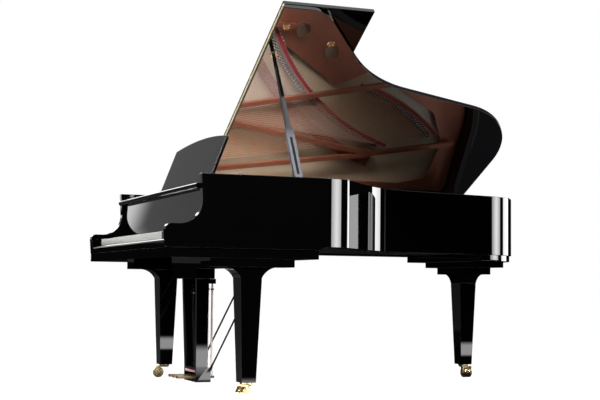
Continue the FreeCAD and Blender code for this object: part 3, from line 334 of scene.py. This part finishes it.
def redFeltRecipe(place):
    fuzz = place.noise(700.0, 4.0, 0.7)
    patch = place.noise(30.0, 2.0)
    return {"Base Color": (fuzz * 0.6 + patch * 0.4).mixed((0.22, 0.006, 0.012), (0.52, 0.03, 0.04)),
            "Roughness": 0.85 + fuzz * 0.1,
            "Normal": fuzz.bump(0.4, 0.001)}


polished = {"Coat_Weight": 0.3, "Coat_Roughness": 0.012, "IOR": 1.5}
finishes = {
    "black_polish": makeFinish("blackLacquer", lacquerRecipe, **polished),
    "dark_trim": makeFinish("blackInnerRim", lacquerRecipe, **polished),
    "case_wood": makeFinish("caseBeech", woodRecipe),
    "soundboard_spruce": makeFinish("soundboardSpruce", spruceRecipe, Coat_Weight=0.6, Coat_Roughness=0.1),
    "bridge_maple": makeFinish("bridgeMaple", mapleRecipe),
    "plate_bronze": makeFinish("plateBronze", bronzeRecipe, Coat_Weight=0.3, Coat_Roughness=0.2),
    "steel": makeFinish("brightSteel", steelRecipe, Metallic=1.0),
    "copper_winding": makeFinish("copperWinding", windingRecipe, Metallic=0.55),
    "brass": makeFinish("polishedBrass", brassRecipe, Metallic=1.0),
    "black_metal": makeFinish("blackPaintedMetal", satinRecipe, Coat_Weight=0.3),
    "white_keys": makeFinish("keyWhite", ivoryRecipe, Coat_Weight=0.5, Coat_Roughness=0.06),
    "black_keys": makeFinish("keyBlack", ebonyRecipe),
    "hammer_felt": makeFinish("hammerFelt", hammerRecipe),
    "damper_black": makeFinish("damperBlack", damperRecipe),
    "buffer_rubber": makeFinish("bufferRubber", rubberRecipe),
}
lidMirror = makeFinish("lidUndersideMirror", mirrorRecipe, IOR=3.4, Coat_Weight=1.0, Coat_Roughness=0.01,
                       Coat_IOR=2.0)
hingeBrass = makeFinish("hingeBrass", brassRecipe, Metallic=0.5)
propPolish = makeFinish("propPolish", propRecipe, Coat_Weight=0.3, Coat_Roughness=0.02)
blackWood = makeFinish("blackPaintedPosts", satinRecipe)
stringWire = makeFinish("stringWire", wireRecipe, Metallic=0.45)
# pedal brass darkened as painted shade
pedalBrass = makeFinish("shadedPedalBrass", pedalRecipe, Metallic=1.0)
bridgeNotch = makeFinish("bridgeNotch", notchRecipe)
redFelt = makeFinish("redFelt", redFeltRecipe, Sheen_Weight=0.4)
for name, piece in cad.items():
    piece.data.materials.clear()
    wiry = name == "treble_strings" or name.startswith("pedal_rod")
    piece.data.materials.append(stringWire if wiry else finishes[slotOf[name]])
cad["flap_hinge"].data.materials[0] = hingeBrass
cad["back_posts"].data.materials[0] = blackWood
print("finishes made")


# helpers for new pieces

def settle(name, bm, finish, body, slot, smooth=35.0, *stands):
    mesh = bpy.data.meshes.new(name)
    bm.to_mesh(mesh)
    bm.free()
    for each in finish if isinstance(finish, list) else [finish]:
        mesh.materials.append(each)
    mesh.polygons.foreach_set("use_smooth", [True] * len(mesh.polygons))
    mesh.set_sharp_from_angle(angle=math.radians(smooth))
    piece = bpy.data.objects.new(name, mesh)
    scene.collection.objects.link(piece)
    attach(piece, body)
    if stands:
        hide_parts(*stands)
    return piece


def weighNormals(piece):
    level = piece.modifiers.new("faceNormals", "WEIGHTED_NORMAL")
    level.keep_sharp = True
    level.weight = 80


# pieces whose solid is right, with its edges eased

eased = {"outer_rim": ("rimPolished", 0.0030), "keybed": ("keybedPolished", 0.0040),
         "key_blocks": ("keyBlocksPolished", 0.0012),
         "fallboard": ("fallboardPolished", 0.0012), "music_desk": ("deskPolished", 0.0012),
         "desk_tray": ("trayPolished", 0.0015), "lid_flap": ("flapPolished", 0.0015),
         "lid": ("lidPolished", 0.0012), "leg_bass": ("legBassPolished", 0.002),
         "leg_treble": ("legTreblePolished", 0.002), "leg_tail": ("legTailPolished", 0.002),
         "lyre": ("lyrePolished", 0.0015), "lid_prop": ("propPolished", 0.0012),
         "half_prop": ("halfPropPolished", 0.001), "inner_rim": ("innerRimPolished", 0.002),
         "plate": ("plateCast", 0.002), "bridges": ("bridgesEased", 0.0015),
         "keys_sharp": ("sharpsEased", 0.0010), "desk_runners": ("runnersEased", 0.001),
         "caster_sockets": ("casterSocketsTurned", 0.001), "prop_bracket": ("propCupEased", 0.0012)}
for corner in corners:
    eased["caster_fork_" + corner] = ("casterFork" + corner.title(), 0.0012)
    eased["caster_wheels_" + corner] = ("casterWheels" + corner.title(), 0.0014)
for side in pedals:
    eased["pedal_" + side] = ("pedal" + side.title(), 0.0036)
for note in "abcdefg":
    eased["keys_" + note] = ("naturals" + note.upper(), 0.0007)
easing = {"sharp": 28.0, "segments": 2, "merge": 0.00002, "flat": 0.3, "smooth": 35.0}
lip = {"board": front + 0.1755, "above": 0.9, "top": 0.959, "slope": 0.16}
lidTilt = {"angle": math.radians(31.7), "match": 0.9995}


def easedCopy(node, name, width):
    bm = bmesh.new()
    bm.from_mesh(cad[node].data)
    bmesh.ops.remove_doubles(bm, verts=bm.verts, dist=easing["merge"])
    bmesh.ops.dissolve_limit(bm, angle_limit=math.radians(easing["flat"]), verts=bm.verts, edges=bm.edges)
    if node == "fallboard":                     # face of the lip slopes back a little to the board
        for vert in bm.verts:
            if vert.co.y < lip["board"] and vert.co.z > lip["above"]:
                vert.co.y += min(lip["slope"] * (lip["top"] - vert.co.z), lip["board"] - vert.co.y)
    edges = [e for e in bm.edges if e.is_manifold and e.calc_face_angle() > math.radians(easing["sharp"])]
    bmesh.ops.bevel(bm, geom=edges, offset=width, offset_type="OFFSET", affect="EDGES",
                    segments=easing["segments"], profile=0.5, material=-1, clamp_overlap=True)
    slot = slotOf[node]
    finish = [propPolish if node == "lid_prop" else finishes[slot]]
    if node.startswith("pedal_"):
        finish = [pedalBrass]
    if node in ("lid", "lid_flap"):
        finish.append(lidMirror)
        inner = Vector((math.sin(lidTilt["angle"]), 0, -math.cos(lidTilt["angle"])))
        if node == "lid_flap":
            inner.negate()
        for face in bm.faces:
            if face.normal.dot(inner) > lidTilt["match"]:
                face.material_index = 1
    weighNormals(settle(name, bm, finish, cad[node]["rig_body"], slot, easing["smooth"], node))


for node, (name, width) in eased.items():
    easedCopy(node, name, width)
print("eased copies made:", len(eased))


# shapes that the small pieces are made of

def addBlock(bm, low, high):
    middle = (Vector(low) + Vector(high)) / 2
    size = Vector(high) - Vector(low)
    shape = Matrix.Translation(middle) @ Matrix.Diagonal((*size, 1.0))
    bmesh.ops.create_cube(bm, size=1.0, matrix=shape)


def addRod(bm, start, end, radius, sides, taper=1.0):
    along = end - start
    turn = along.to_track_quat("Z", "Y").to_matrix().to_4x4()
    bmesh.ops.create_cone(bm, cap_ends=True, segments=sides, radius1=radius, radius2=radius * taper,
                          depth=along.length, matrix=Matrix.Translation((start + end) / 2) @ turn)


def addRibbon(bm, path, width, low, high):      # flat strip along a path in plan
    last = len(path) - 1
    made = bmesh.ops.create_grid(bm, x_segments=last, y_segments=1, size=1.0)["verts"]
    for vert in made:
        i = round((vert.co.x + 1.0) / 2.0 * last)
        along = (path[min(i + 1, last)] - path[max(i - 1, 0)]).normalized()
        side = math.copysign(width / 2, vert.co.y)
        vert.co = Vector((path[i].x - along.y * side, path[i].y + along.x * side, low))
    faces = list({face for vert in made for face in vert.link_faces})
    grown = bmesh.ops.extrude_face_region(bm, geom=faces)["geom"]
    topVerts = [item for item in grown if isinstance(item, bmesh.types.BMVert)]
    bmesh.ops.translate(bm, vec=(0, 0, high - low), verts=topVerts)
    bmesh.ops.recalc_face_normals(bm, faces=bm.faces)


def looseParts(node):                           # corner points of each solid in a node
    bm = bmesh.new()
    bm.from_mesh(cad[node].data)
    bmesh.ops.remove_doubles(bm, verts=bm.verts, dist=easing["merge"])
    unseen = set(bm.verts)
    parts = []
    while unseen:
        edge = [unseen.pop()]
        part = []
        while edge:
            vert = edge.pop()
            part.append(vert.co.copy())
            near = {e.other_vert(vert) for e in vert.link_edges} & unseen
            unseen -= near
            edge.extend(near)
        parts.append(part)
    bm.free()
    return parts


def stringEnds(node):                           # front and back end of each string, bass to treble
    runs = []
    for part in looseParts(node):
        part.sort(key=lambda co: co.y)
        few = max(3, len(part) // 4)
        runs.append((sum(part[:few], Vector()) / few, sum(part[-few:], Vector()) / few))
    return sorted(runs, key=lambda run: run[0].x)


# stringing: unisons, bridge and hitch pins, notches, felts, coils, leads and plate bolts

up = Vector((0, 0, 1))
stringing = {"wire": 0.0008, "hitchPin": 0.0021, "hitchSunk": 0.001, "hitchRise": 0.006, "hitchLean": 0.002,
             "feltWidth": 0.020, "feltBack": 0.026, "feltRise": 0.0015, "plateTop": 0.898}
bridgePin = {"step": 0.008, "stagger": 0.0012, "foot": 0.002, "head": 0.004, "radius": 0.0012}
notch = {"step": 0.0118, "half": 0.0045, "radius": 0.0036, "smooth": 20.0}
choirs = {"treble": {"past": 0.095, "unison": 0.0030, "drop": 0.0012},
          "bass": {"past": 0.070, "unison": 0.0034, "drop": 0.0022}}
trebleRuns, bassRuns = stringEnds("treble_strings"), stringEnds("bass_strings")
plateTop = stringing["plateTop"]
unisons, bridgePins, hitchPins, felts = bmesh.new(), bmesh.new(), bmesh.new(), bmesh.new()
notches = bmesh.new()
for runs, choir in ((trebleRuns, choirs["treble"]), (bassRuns, choirs["bass"])):
    unison = choir["unison"]
    feltPath = []
    for start, end in runs:
        along = (end - start).normalized()
        across = Vector((-along.y, along.x, 0))
        bridge = end - along * choir["past"]
        for shift in (-unison, 0.0, unison):
            if shift and runs is trebleRuns:
                addRod(unisons, start + across * shift, end + across * shift, stringing["wire"], 4)
            for step in (-1, 1):
                foot = bridge + along * (step * bridgePin["step"])
                foot = foot + across * (shift + step * bridgePin["stagger"])
                addRod(bridgePins, foot - up * bridgePin["foot"], foot + up * bridgePin["head"],
                       bridgePin["radius"], 5)
        crown = bridge - up * choir["drop"]
        for step in (-1, 1):
            middle = crown + along * (step * notch["step"])
            addRod(notches, middle - across * notch["half"], middle + across * notch["half"],
                   notch["radius"], 4)
        foot = Vector((end.x, end.y, plateTop - stringing["hitchSunk"]))
        head = foot + up * (end.z - plateTop + stringing["hitchRise"]) + along * stringing["hitchLean"]
        addRod(hitchPins, foot, head, stringing["hitchPin"], 6)
        feltPath.append(end - along * stringing["feltBack"])
    addRibbon(felts, feltPath, stringing["feltWidth"], plateTop, runs[0][0].z + stringing["feltRise"])
settle("unisonStrings", unisons, stringWire, "case", "steel")
settle("bridgePins", bridgePins, finishes["steel"], "case", "steel")
settle("hitchPins", hitchPins, finishes["steel"], "case", "steel")
settle("bridgeNotches", notches, bridgeNotch, "case", "bridge_maple", notch["smooth"])
coil = {"above": 0.007, "tall": 0.005, "radius": 0.0046, "side": 0.0042, "lead": 0.0006, "past": 0.006}
leads, coils, bolts = bmesh.new(), bmesh.new(), bmesh.new()
allRuns = bassRuns + trebleRuns
for part in looseParts("tuning_pins"):
    middle = sum(part, Vector()) / len(part)
    low = Vector((middle.x, middle.y, plateTop + coil["above"]))
    addRod(coils, low, low + up * coil["tall"], coil["radius"], 10)
    start = min(allRuns, key=lambda run: abs(run[0].x - middle.x))[0]
    addRod(leads, low + Vector((coil["side"], 0, coil["tall"] / 2)), start + Vector((0, coil["past"], 0)),
           coil["lead"], 3)
settle("pinCoils", coils, finishes["steel"], "case", "steel")
settle("stringLeads", leads, stringWire, "case", "steel")
frontFelt = {"left": -0.655, "right": 0.640, "back": front + 0.3665, "width": 0.011, "rise": 0.003}
ends = [Vector((frontFelt[side], frontFelt["back"], 0)) for side in ("left", "right")]
addRibbon(felts, ends, frontFelt["width"], plateTop, plateTop + frontFelt["rise"])
settle("stringingFelts", felts, redFelt, "case", "hammer_felt")
bolt = {"spine": -0.711, "spineFrom": 0.45, "spineStep": 0.31, "cheek": 0.706, "cheekAt": (0.45, 0.60),
        "block": 0.262, "blockFrom": -0.60, "blockStep": 0.24, "sunk": 0.001,
        "washer": (0.013, 0.003), "head": (0.009, 0.010), "taper": 0.92}
boltPlaces = [(bolt["spine"], bolt["spineFrom"] + bolt["spineStep"] * i) for i in range(6)]
boltPlaces += [(bolt["cheek"], y) for y in bolt["cheekAt"]]
boltPlaces += [(bolt["blockFrom"] + bolt["blockStep"] * i, bolt["block"]) for i in range(6)]
for x, y in boltPlaces:
    foot = Vector((x, front + y, plateTop - bolt["sunk"]))
    seat = foot + up * bolt["washer"][1]
    addRod(bolts, foot, seat, bolt["washer"][0], 14)
    addRod(bolts, seat, foot + up * bolt["head"][1], bolt["head"][0], 6, bolt["taper"])
settle("plateBolts", bolts, finishes["plate_bronze"], "case", "plate_bronze")
print("stringing made:", len(allRuns), "strings")


# trim: key slip, felts, hub nuts, braces, rod nuts

slip = {"frontRound": 0.010, "backRound": 0.003, "segments": 8, "same": 1e-5, "smooth": 40.0}
low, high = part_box("key_slip")
bm = bmesh.new()
addBlock(bm, low, high)
same = slip["same"]
for y, width in ((low[1], slip["frontRound"]), (high[1], slip["backRound"])):
    edges = [edge for edge in bm.edges
             if all(abs(v.co.y - y) < same and abs(v.co.z - high[2]) < same for v in edge.verts)]
    bmesh.ops.bevel(bm, geom=edges, offset=width, offset_type="OFFSET", affect="EDGES",
                    segments=slip["segments"], profile=0.5, material=-1)
weighNormals(settle("keySlipRounded", bm, finishes["black_polish"], cad["key_slip"]["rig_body"],
                    "black_polish", slip["smooth"], "key_slip"))

feltRound = 0.0005
feltStrips = {"fallboardFelt": ((-0.62, 0.1748, 0.7568), (0.62, 0.1762, 0.7640), "fallboard"),
              "pedalFelt": ((-0.090, 0.3465, 0.0760), (0.090, 0.3600, 0.0892), "lyre")}
for name, (low, high, node) in feltStrips.items():
    bm = bmesh.new()
    addBlock(bm, Vector(low) + Vector((0, front, 0)), Vector(high) + Vector((0, front, 0)))
    bmesh.ops.bevel(bm, geom=bm.edges[:], offset=feltRound, offset_type="OFFSET", affect="EDGES", segments=2,
                    profile=0.5, material=-1)
    settle(name, bm, redFelt, cad[node]["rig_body"], "hammer_felt")

casterHub = {"axle": 0.030, "nut": 0.0062, "tall": 0.004, "capEnd": 0.0055, "cap": 0.0046, "taper": 0.6}
jointAxes = {joint["name"]: joint["axis"] for joint in frame["record"]["behaviour"]["joints"]}
for corner in corners:
    body = cad["caster_wheels_" + corner]["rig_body"]
    low, high = (Vector(end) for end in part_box("caster_wheels_" + corner))
    hub = (low + high) / 2
    across = Vector(jointAxes["roll_" + corner])
    bm = bmesh.new()
    for side in (-1, 1):
        end = hub + across * (side * casterHub["axle"])
        face = end + across * (side * casterHub["tall"])
        addRod(bm, end, face, casterHub["nut"], 6)
        tip = end + across * (side * casterHub["capEnd"])
        addRod(bm, face, tip, casterHub["cap"], 10, casterHub["taper"])
    settle("casterNuts" + corner.title(), bm, finishes["brass"], body, "brass")

braces = {"radius": 0.0046, "foot": 0.0085, "short": 0.004, "from": 0.006, "to": 0.022, "taper": 0.6}
bm = bmesh.new()
for part in looseParts("lyre_braces"):
    part.sort(key=lambda co: co.z)
    few = len(part) // 2
    start, end = sum(part[:few], Vector()) / few, sum(part[few:], Vector()) / (len(part) - few)
    along = (end - start).normalized()
    addRod(bm, start + along * braces["short"], end - along * braces["short"], braces["radius"], 16)
    for tip, inward in ((start, along), (end, -along)):
        addRod(bm, tip + inward * braces["from"], tip + inward * braces["to"], braces["foot"], 12,
               braces["taper"])
settle("bracesTurned", bm, finishes["black_polish"], cad["lyre_braces"]["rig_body"], "black_metal",
       easing["smooth"], "lyre_braces")

rodNuts = {"radius": 0.0085, "places": ((0.068, 0.008), (0.078, 0.005), (0.480, 0.010))}
for side in pedals:
    node = "pedal_rod_" + side
    low, high = (Vector(end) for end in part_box(node))
    middle = (low + high) / 2
    bm = bmesh.new()
    for z, tall in rodNuts["places"]:
        foot = Vector((middle.x, middle.y, z))
        addRod(bm, foot, foot + up * tall, rodNuts["radius"], 6)
    settle("rodNuts" + side.title(), bm, finishes["steel"], cad[node]["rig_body"], "steel")
print("trim made")


# camera

cameraAt = {"place": (6.2526, -2.6461, 0.5052), "yaw": 0.3712, "pitch": 0.0663, "roll": 0.0108,
            "lens": 77.9, "sensor": 36.0, "clip": 200.0}
yaw, pitch, roll = cameraAt["yaw"], cameraAt["pitch"], cameraAt["roll"]
ahead = Vector((-math.cos(yaw) * math.cos(pitch), math.sin(yaw) * math.cos(pitch), math.sin(pitch)))
right = ahead.cross(up).normalized()
raised = right.cross(ahead)
rightRolled = right * math.cos(roll) + raised * math.sin(roll)
upRolled = raised * math.cos(roll) - right * math.sin(roll)
camera = bpy.data.objects.new("camera", bpy.data.cameras.new("camera"))
camera.data.sensor_width = cameraAt["sensor"]
camera.data.lens = cameraAt["lens"]
camera.data.clip_end = cameraAt["clip"]
turn = Matrix((rightRolled, upRolled, -ahead)).transposed().to_4x4()
camera.matrix_world = Matrix.Translation(cameraAt["place"]) @ turn
scene.collection.objects.link(camera)
scene.camera = camera


# floor, studio and light

floorSettings = {"size": 60.0, "colour": (0.16, 0.16, 0.16), "mirrored": (0.015, 0.015, 0.017),
                 "rough": 0.9, "glow": 0.965,
                 "near": 5.0, "nearFrom": (0.55, 0.7), "nearTo": (1.1, 1.4),        # lights the low edges
                 "far": 0.05, "farSide": (0.2, 0.6), "farFront": (-1.1, -0.8)}
bm = bmesh.new()
bmesh.ops.create_grid(bm, x_segments=1, y_segments=1, size=floorSettings["size"])
floorMesh = bpy.data.meshes.new("floor")
bm.to_mesh(floorMesh)
bm.free()
floor = bpy.data.objects.new("floor", floorMesh)
scene.collection.objects.link(floor)
floorFinish = bpy.data.materials.new("paleFloor")
floorFinish.use_nodes = True
tree = floorFinish.node_tree
path = tree.nodes.new("ShaderNodeLightPath")
isCamera = Term(tree, path.outputs["Is Camera Ray"])
isSeen = isCamera.calc("MAXIMUM", isCamera, Term(tree, path.outputs["Is Transmission Ray"]))
shader = tree.nodes["Principled BSDF"]
isMirrored = Term(tree, path.outputs["Is Glossy Ray"])
feed(tree, shader.inputs["Base Color"], isMirrored.mixed(floorSettings["colour"], floorSettings["mirrored"]))
shader.inputs["Roughness"].default_value = floorSettings["rough"]
shader.inputs["Specular IOR Level"].default_value = 0.0
feed(tree, shader.inputs["Emission Color"], (1.0, 1.0, 1.0))
ground = Term(tree, tree.nodes.new("ShaderNodeTexCoord").outputs["Object"])
across, along = ground.axis(0), ground.axis(1)
beside = across.stepped(*floorSettings["nearFrom"]) * (1 - across.stepped(*floorSettings["nearTo"]))
beyond = (1 - across.stepped(*floorSettings["farSide"])) * (1 - along.stepped(*floorSettings["farFront"]))
mirrored = isMirrored * (beside * floorSettings["near"] + beyond * floorSettings["far"])
feed(tree, shader.inputs["Emission Strength"], isSeen * floorSettings["glow"] + mirrored)
floorMesh.materials.append(floorFinish)

world = bpy.data.worlds.new("studio")
scene.world = world
world.use_nodes = True
tree = world.node_tree
tree.nodes.clear()
path = tree.nodes.new("ShaderNodeLightPath")
way = Term(tree, tree.nodes.new("ShaderNodeTexCoord").outputs["Generated"])
studio = {"dim": 0.004, "ambient": 0.25, "overhead": 0.3, "overheadFoot": (0.5, 0.95),
          "right": 0.5, "rightSide": (0.1, 0.4), "rightFoot": (0.2, 0.4)}
wallCards = {
    "leftWall": {"front": (0.55, 1.0), "back": (-0.8, -0.4), "foot": (0.031, 0.036), "top": (0.35, 0.6),
                 "level": 0.2},
    "lowCard": {"front": (0.228, 0.260), "back": (-0.5, -0.2), "foot": (0.031, 0.036), "top": (0.075, 0.11),
                "level": 1.4},
    "crown": {"front": (0.06, 0.11), "back": (-0.6, -0.4), "foot": (0.15, 0.19), "top": (0.45, 0.5),
              "level": 3.0},                                        # draws a line on the rounded edges
}
east, north, height = way.axis(0), way.axis(1), way.axis(2)
bearing = way.calc("ARCTAN2", north * -1.0, east * -1.0)        # 0 towards the spine side, grows to the front


def wallCard(name):                             # a bright patch on the studio's wall
    card = wallCards[name]
    patch = (1 - bearing.stepped(*card["front"])) * bearing.stepped(*card["back"])
    return patch * height.stepped(*card["foot"]) * (1 - height.stepped(*card["top"])) * card["level"]


glossy = wallCard("leftWall") + wallCard("lowCard") + wallCard("crown")
glossy = glossy + height.stepped(*studio["overheadFoot"]) * studio["overhead"]
rightWall = east.stepped(*studio["rightSide"]) * height.stepped(*studio["rightFoot"])
glossy = glossy + rightWall * studio["right"] + studio["dim"]
isCamera = Term(tree, path.outputs["Is Camera Ray"])
isSeen = isCamera.calc("MAXIMUM", isCamera, Term(tree, path.outputs["Is Transmission Ray"]))
isGlossy = Term(tree, path.outputs["Is Glossy Ray"])
level = isGlossy * glossy + (1 - isGlossy) * studio["ambient"]
level = isSeen + (1 - isSeen) * level
background = way.node("ShaderNodeBackground", None, {"Color": (1.0, 1.0, 1.0), "Strength": level})
output = tree.nodes.new("ShaderNodeOutputWorld")
tree.links.new(background.socket, output.inputs["Surface"])

lamps = {
    "lidSoftbox": {"at": (2.6, -1.9, 2.5), "to": (-0.15, -0.72, 0.9), "size": (1.6, 1.6), "power": 70.0,
                   "spread": 46.0},
    "ceiling": {"at": (-0.5, 0.2, 4.6), "to": (-0.5, 0.2, 0.0), "size": (4.0, 4.0), "power": 60.0},
    "frontFill": {"at": (-2.5, -5.0, 3.2), "to": (0.0, -0.8, 0.7), "size": (2.0, 2.0), "power": 60.0},
    "shoulderCard": {"at": (1.46, 0.55, 0.90), "to": (0.76, -0.33, 0.87), "size": (0.80, 0.55), "power": 1.8,
                     "spread": 62.0},
    "tailCard": {"at": (0.204, 1.32, 0.89), "to": (0.11, 0.88, 0.87), "size": (0.20, 0.46), "power": 0.060,
                 "spread": 30.0},
    "bendStrip": {"at": (-0.82, 3.83, 1.05), "to": (0.42, 0.03, 0.85), "size": (1.05, 1.2), "power": 22.0},
}
for name, lamp in lamps.items():
    light = bpy.data.lights.new(name, "AREA")
    light.shape = "RECTANGLE"
    light.size, light.size_y = lamp["size"]
    light.energy = lamp["power"]
    light.spread = math.radians(lamp.get("spread", 180.0))
    holder = bpy.data.objects.new(name, light)
    holder.location = lamp["at"]
    holder.rotation_euler = (Vector(lamp["to"]) - Vector(lamp["at"])).to_track_quat("-Z", "Y").to_euler()
    holder.visible_camera = False
    scene.collection.objects.link(holder)
flag = {"at": (0.80, -0.02, 1.48), "to": (2.6, -1.9, 2.5), "size": 0.40}
bm = bmesh.new()
bmesh.ops.create_grid(bm, x_segments=1, y_segments=1, size=flag["size"])
turn = (Vector(flag["to"]) - Vector(flag["at"])).to_track_quat("Z", "Y").to_matrix().to_4x4()
bmesh.ops.transform(bm, matrix=Matrix.Translation(flag["at"]) @ turn, verts=bm.verts)
flagMesh = bpy.data.meshes.new("lightFlag")
bm.to_mesh(flagMesh)
bm.free()
lightFlag = bpy.data.objects.new("lightFlag", flagMesh)         # keeps the softbox off the tail
scene.collection.objects.link(lightFlag)
lightFlag.visible_camera = False
lightFlag.visible_glossy = False
lightFlag.visible_diffuse = False
scene.view_settings.view_transform = "Standard"
print("studio set")
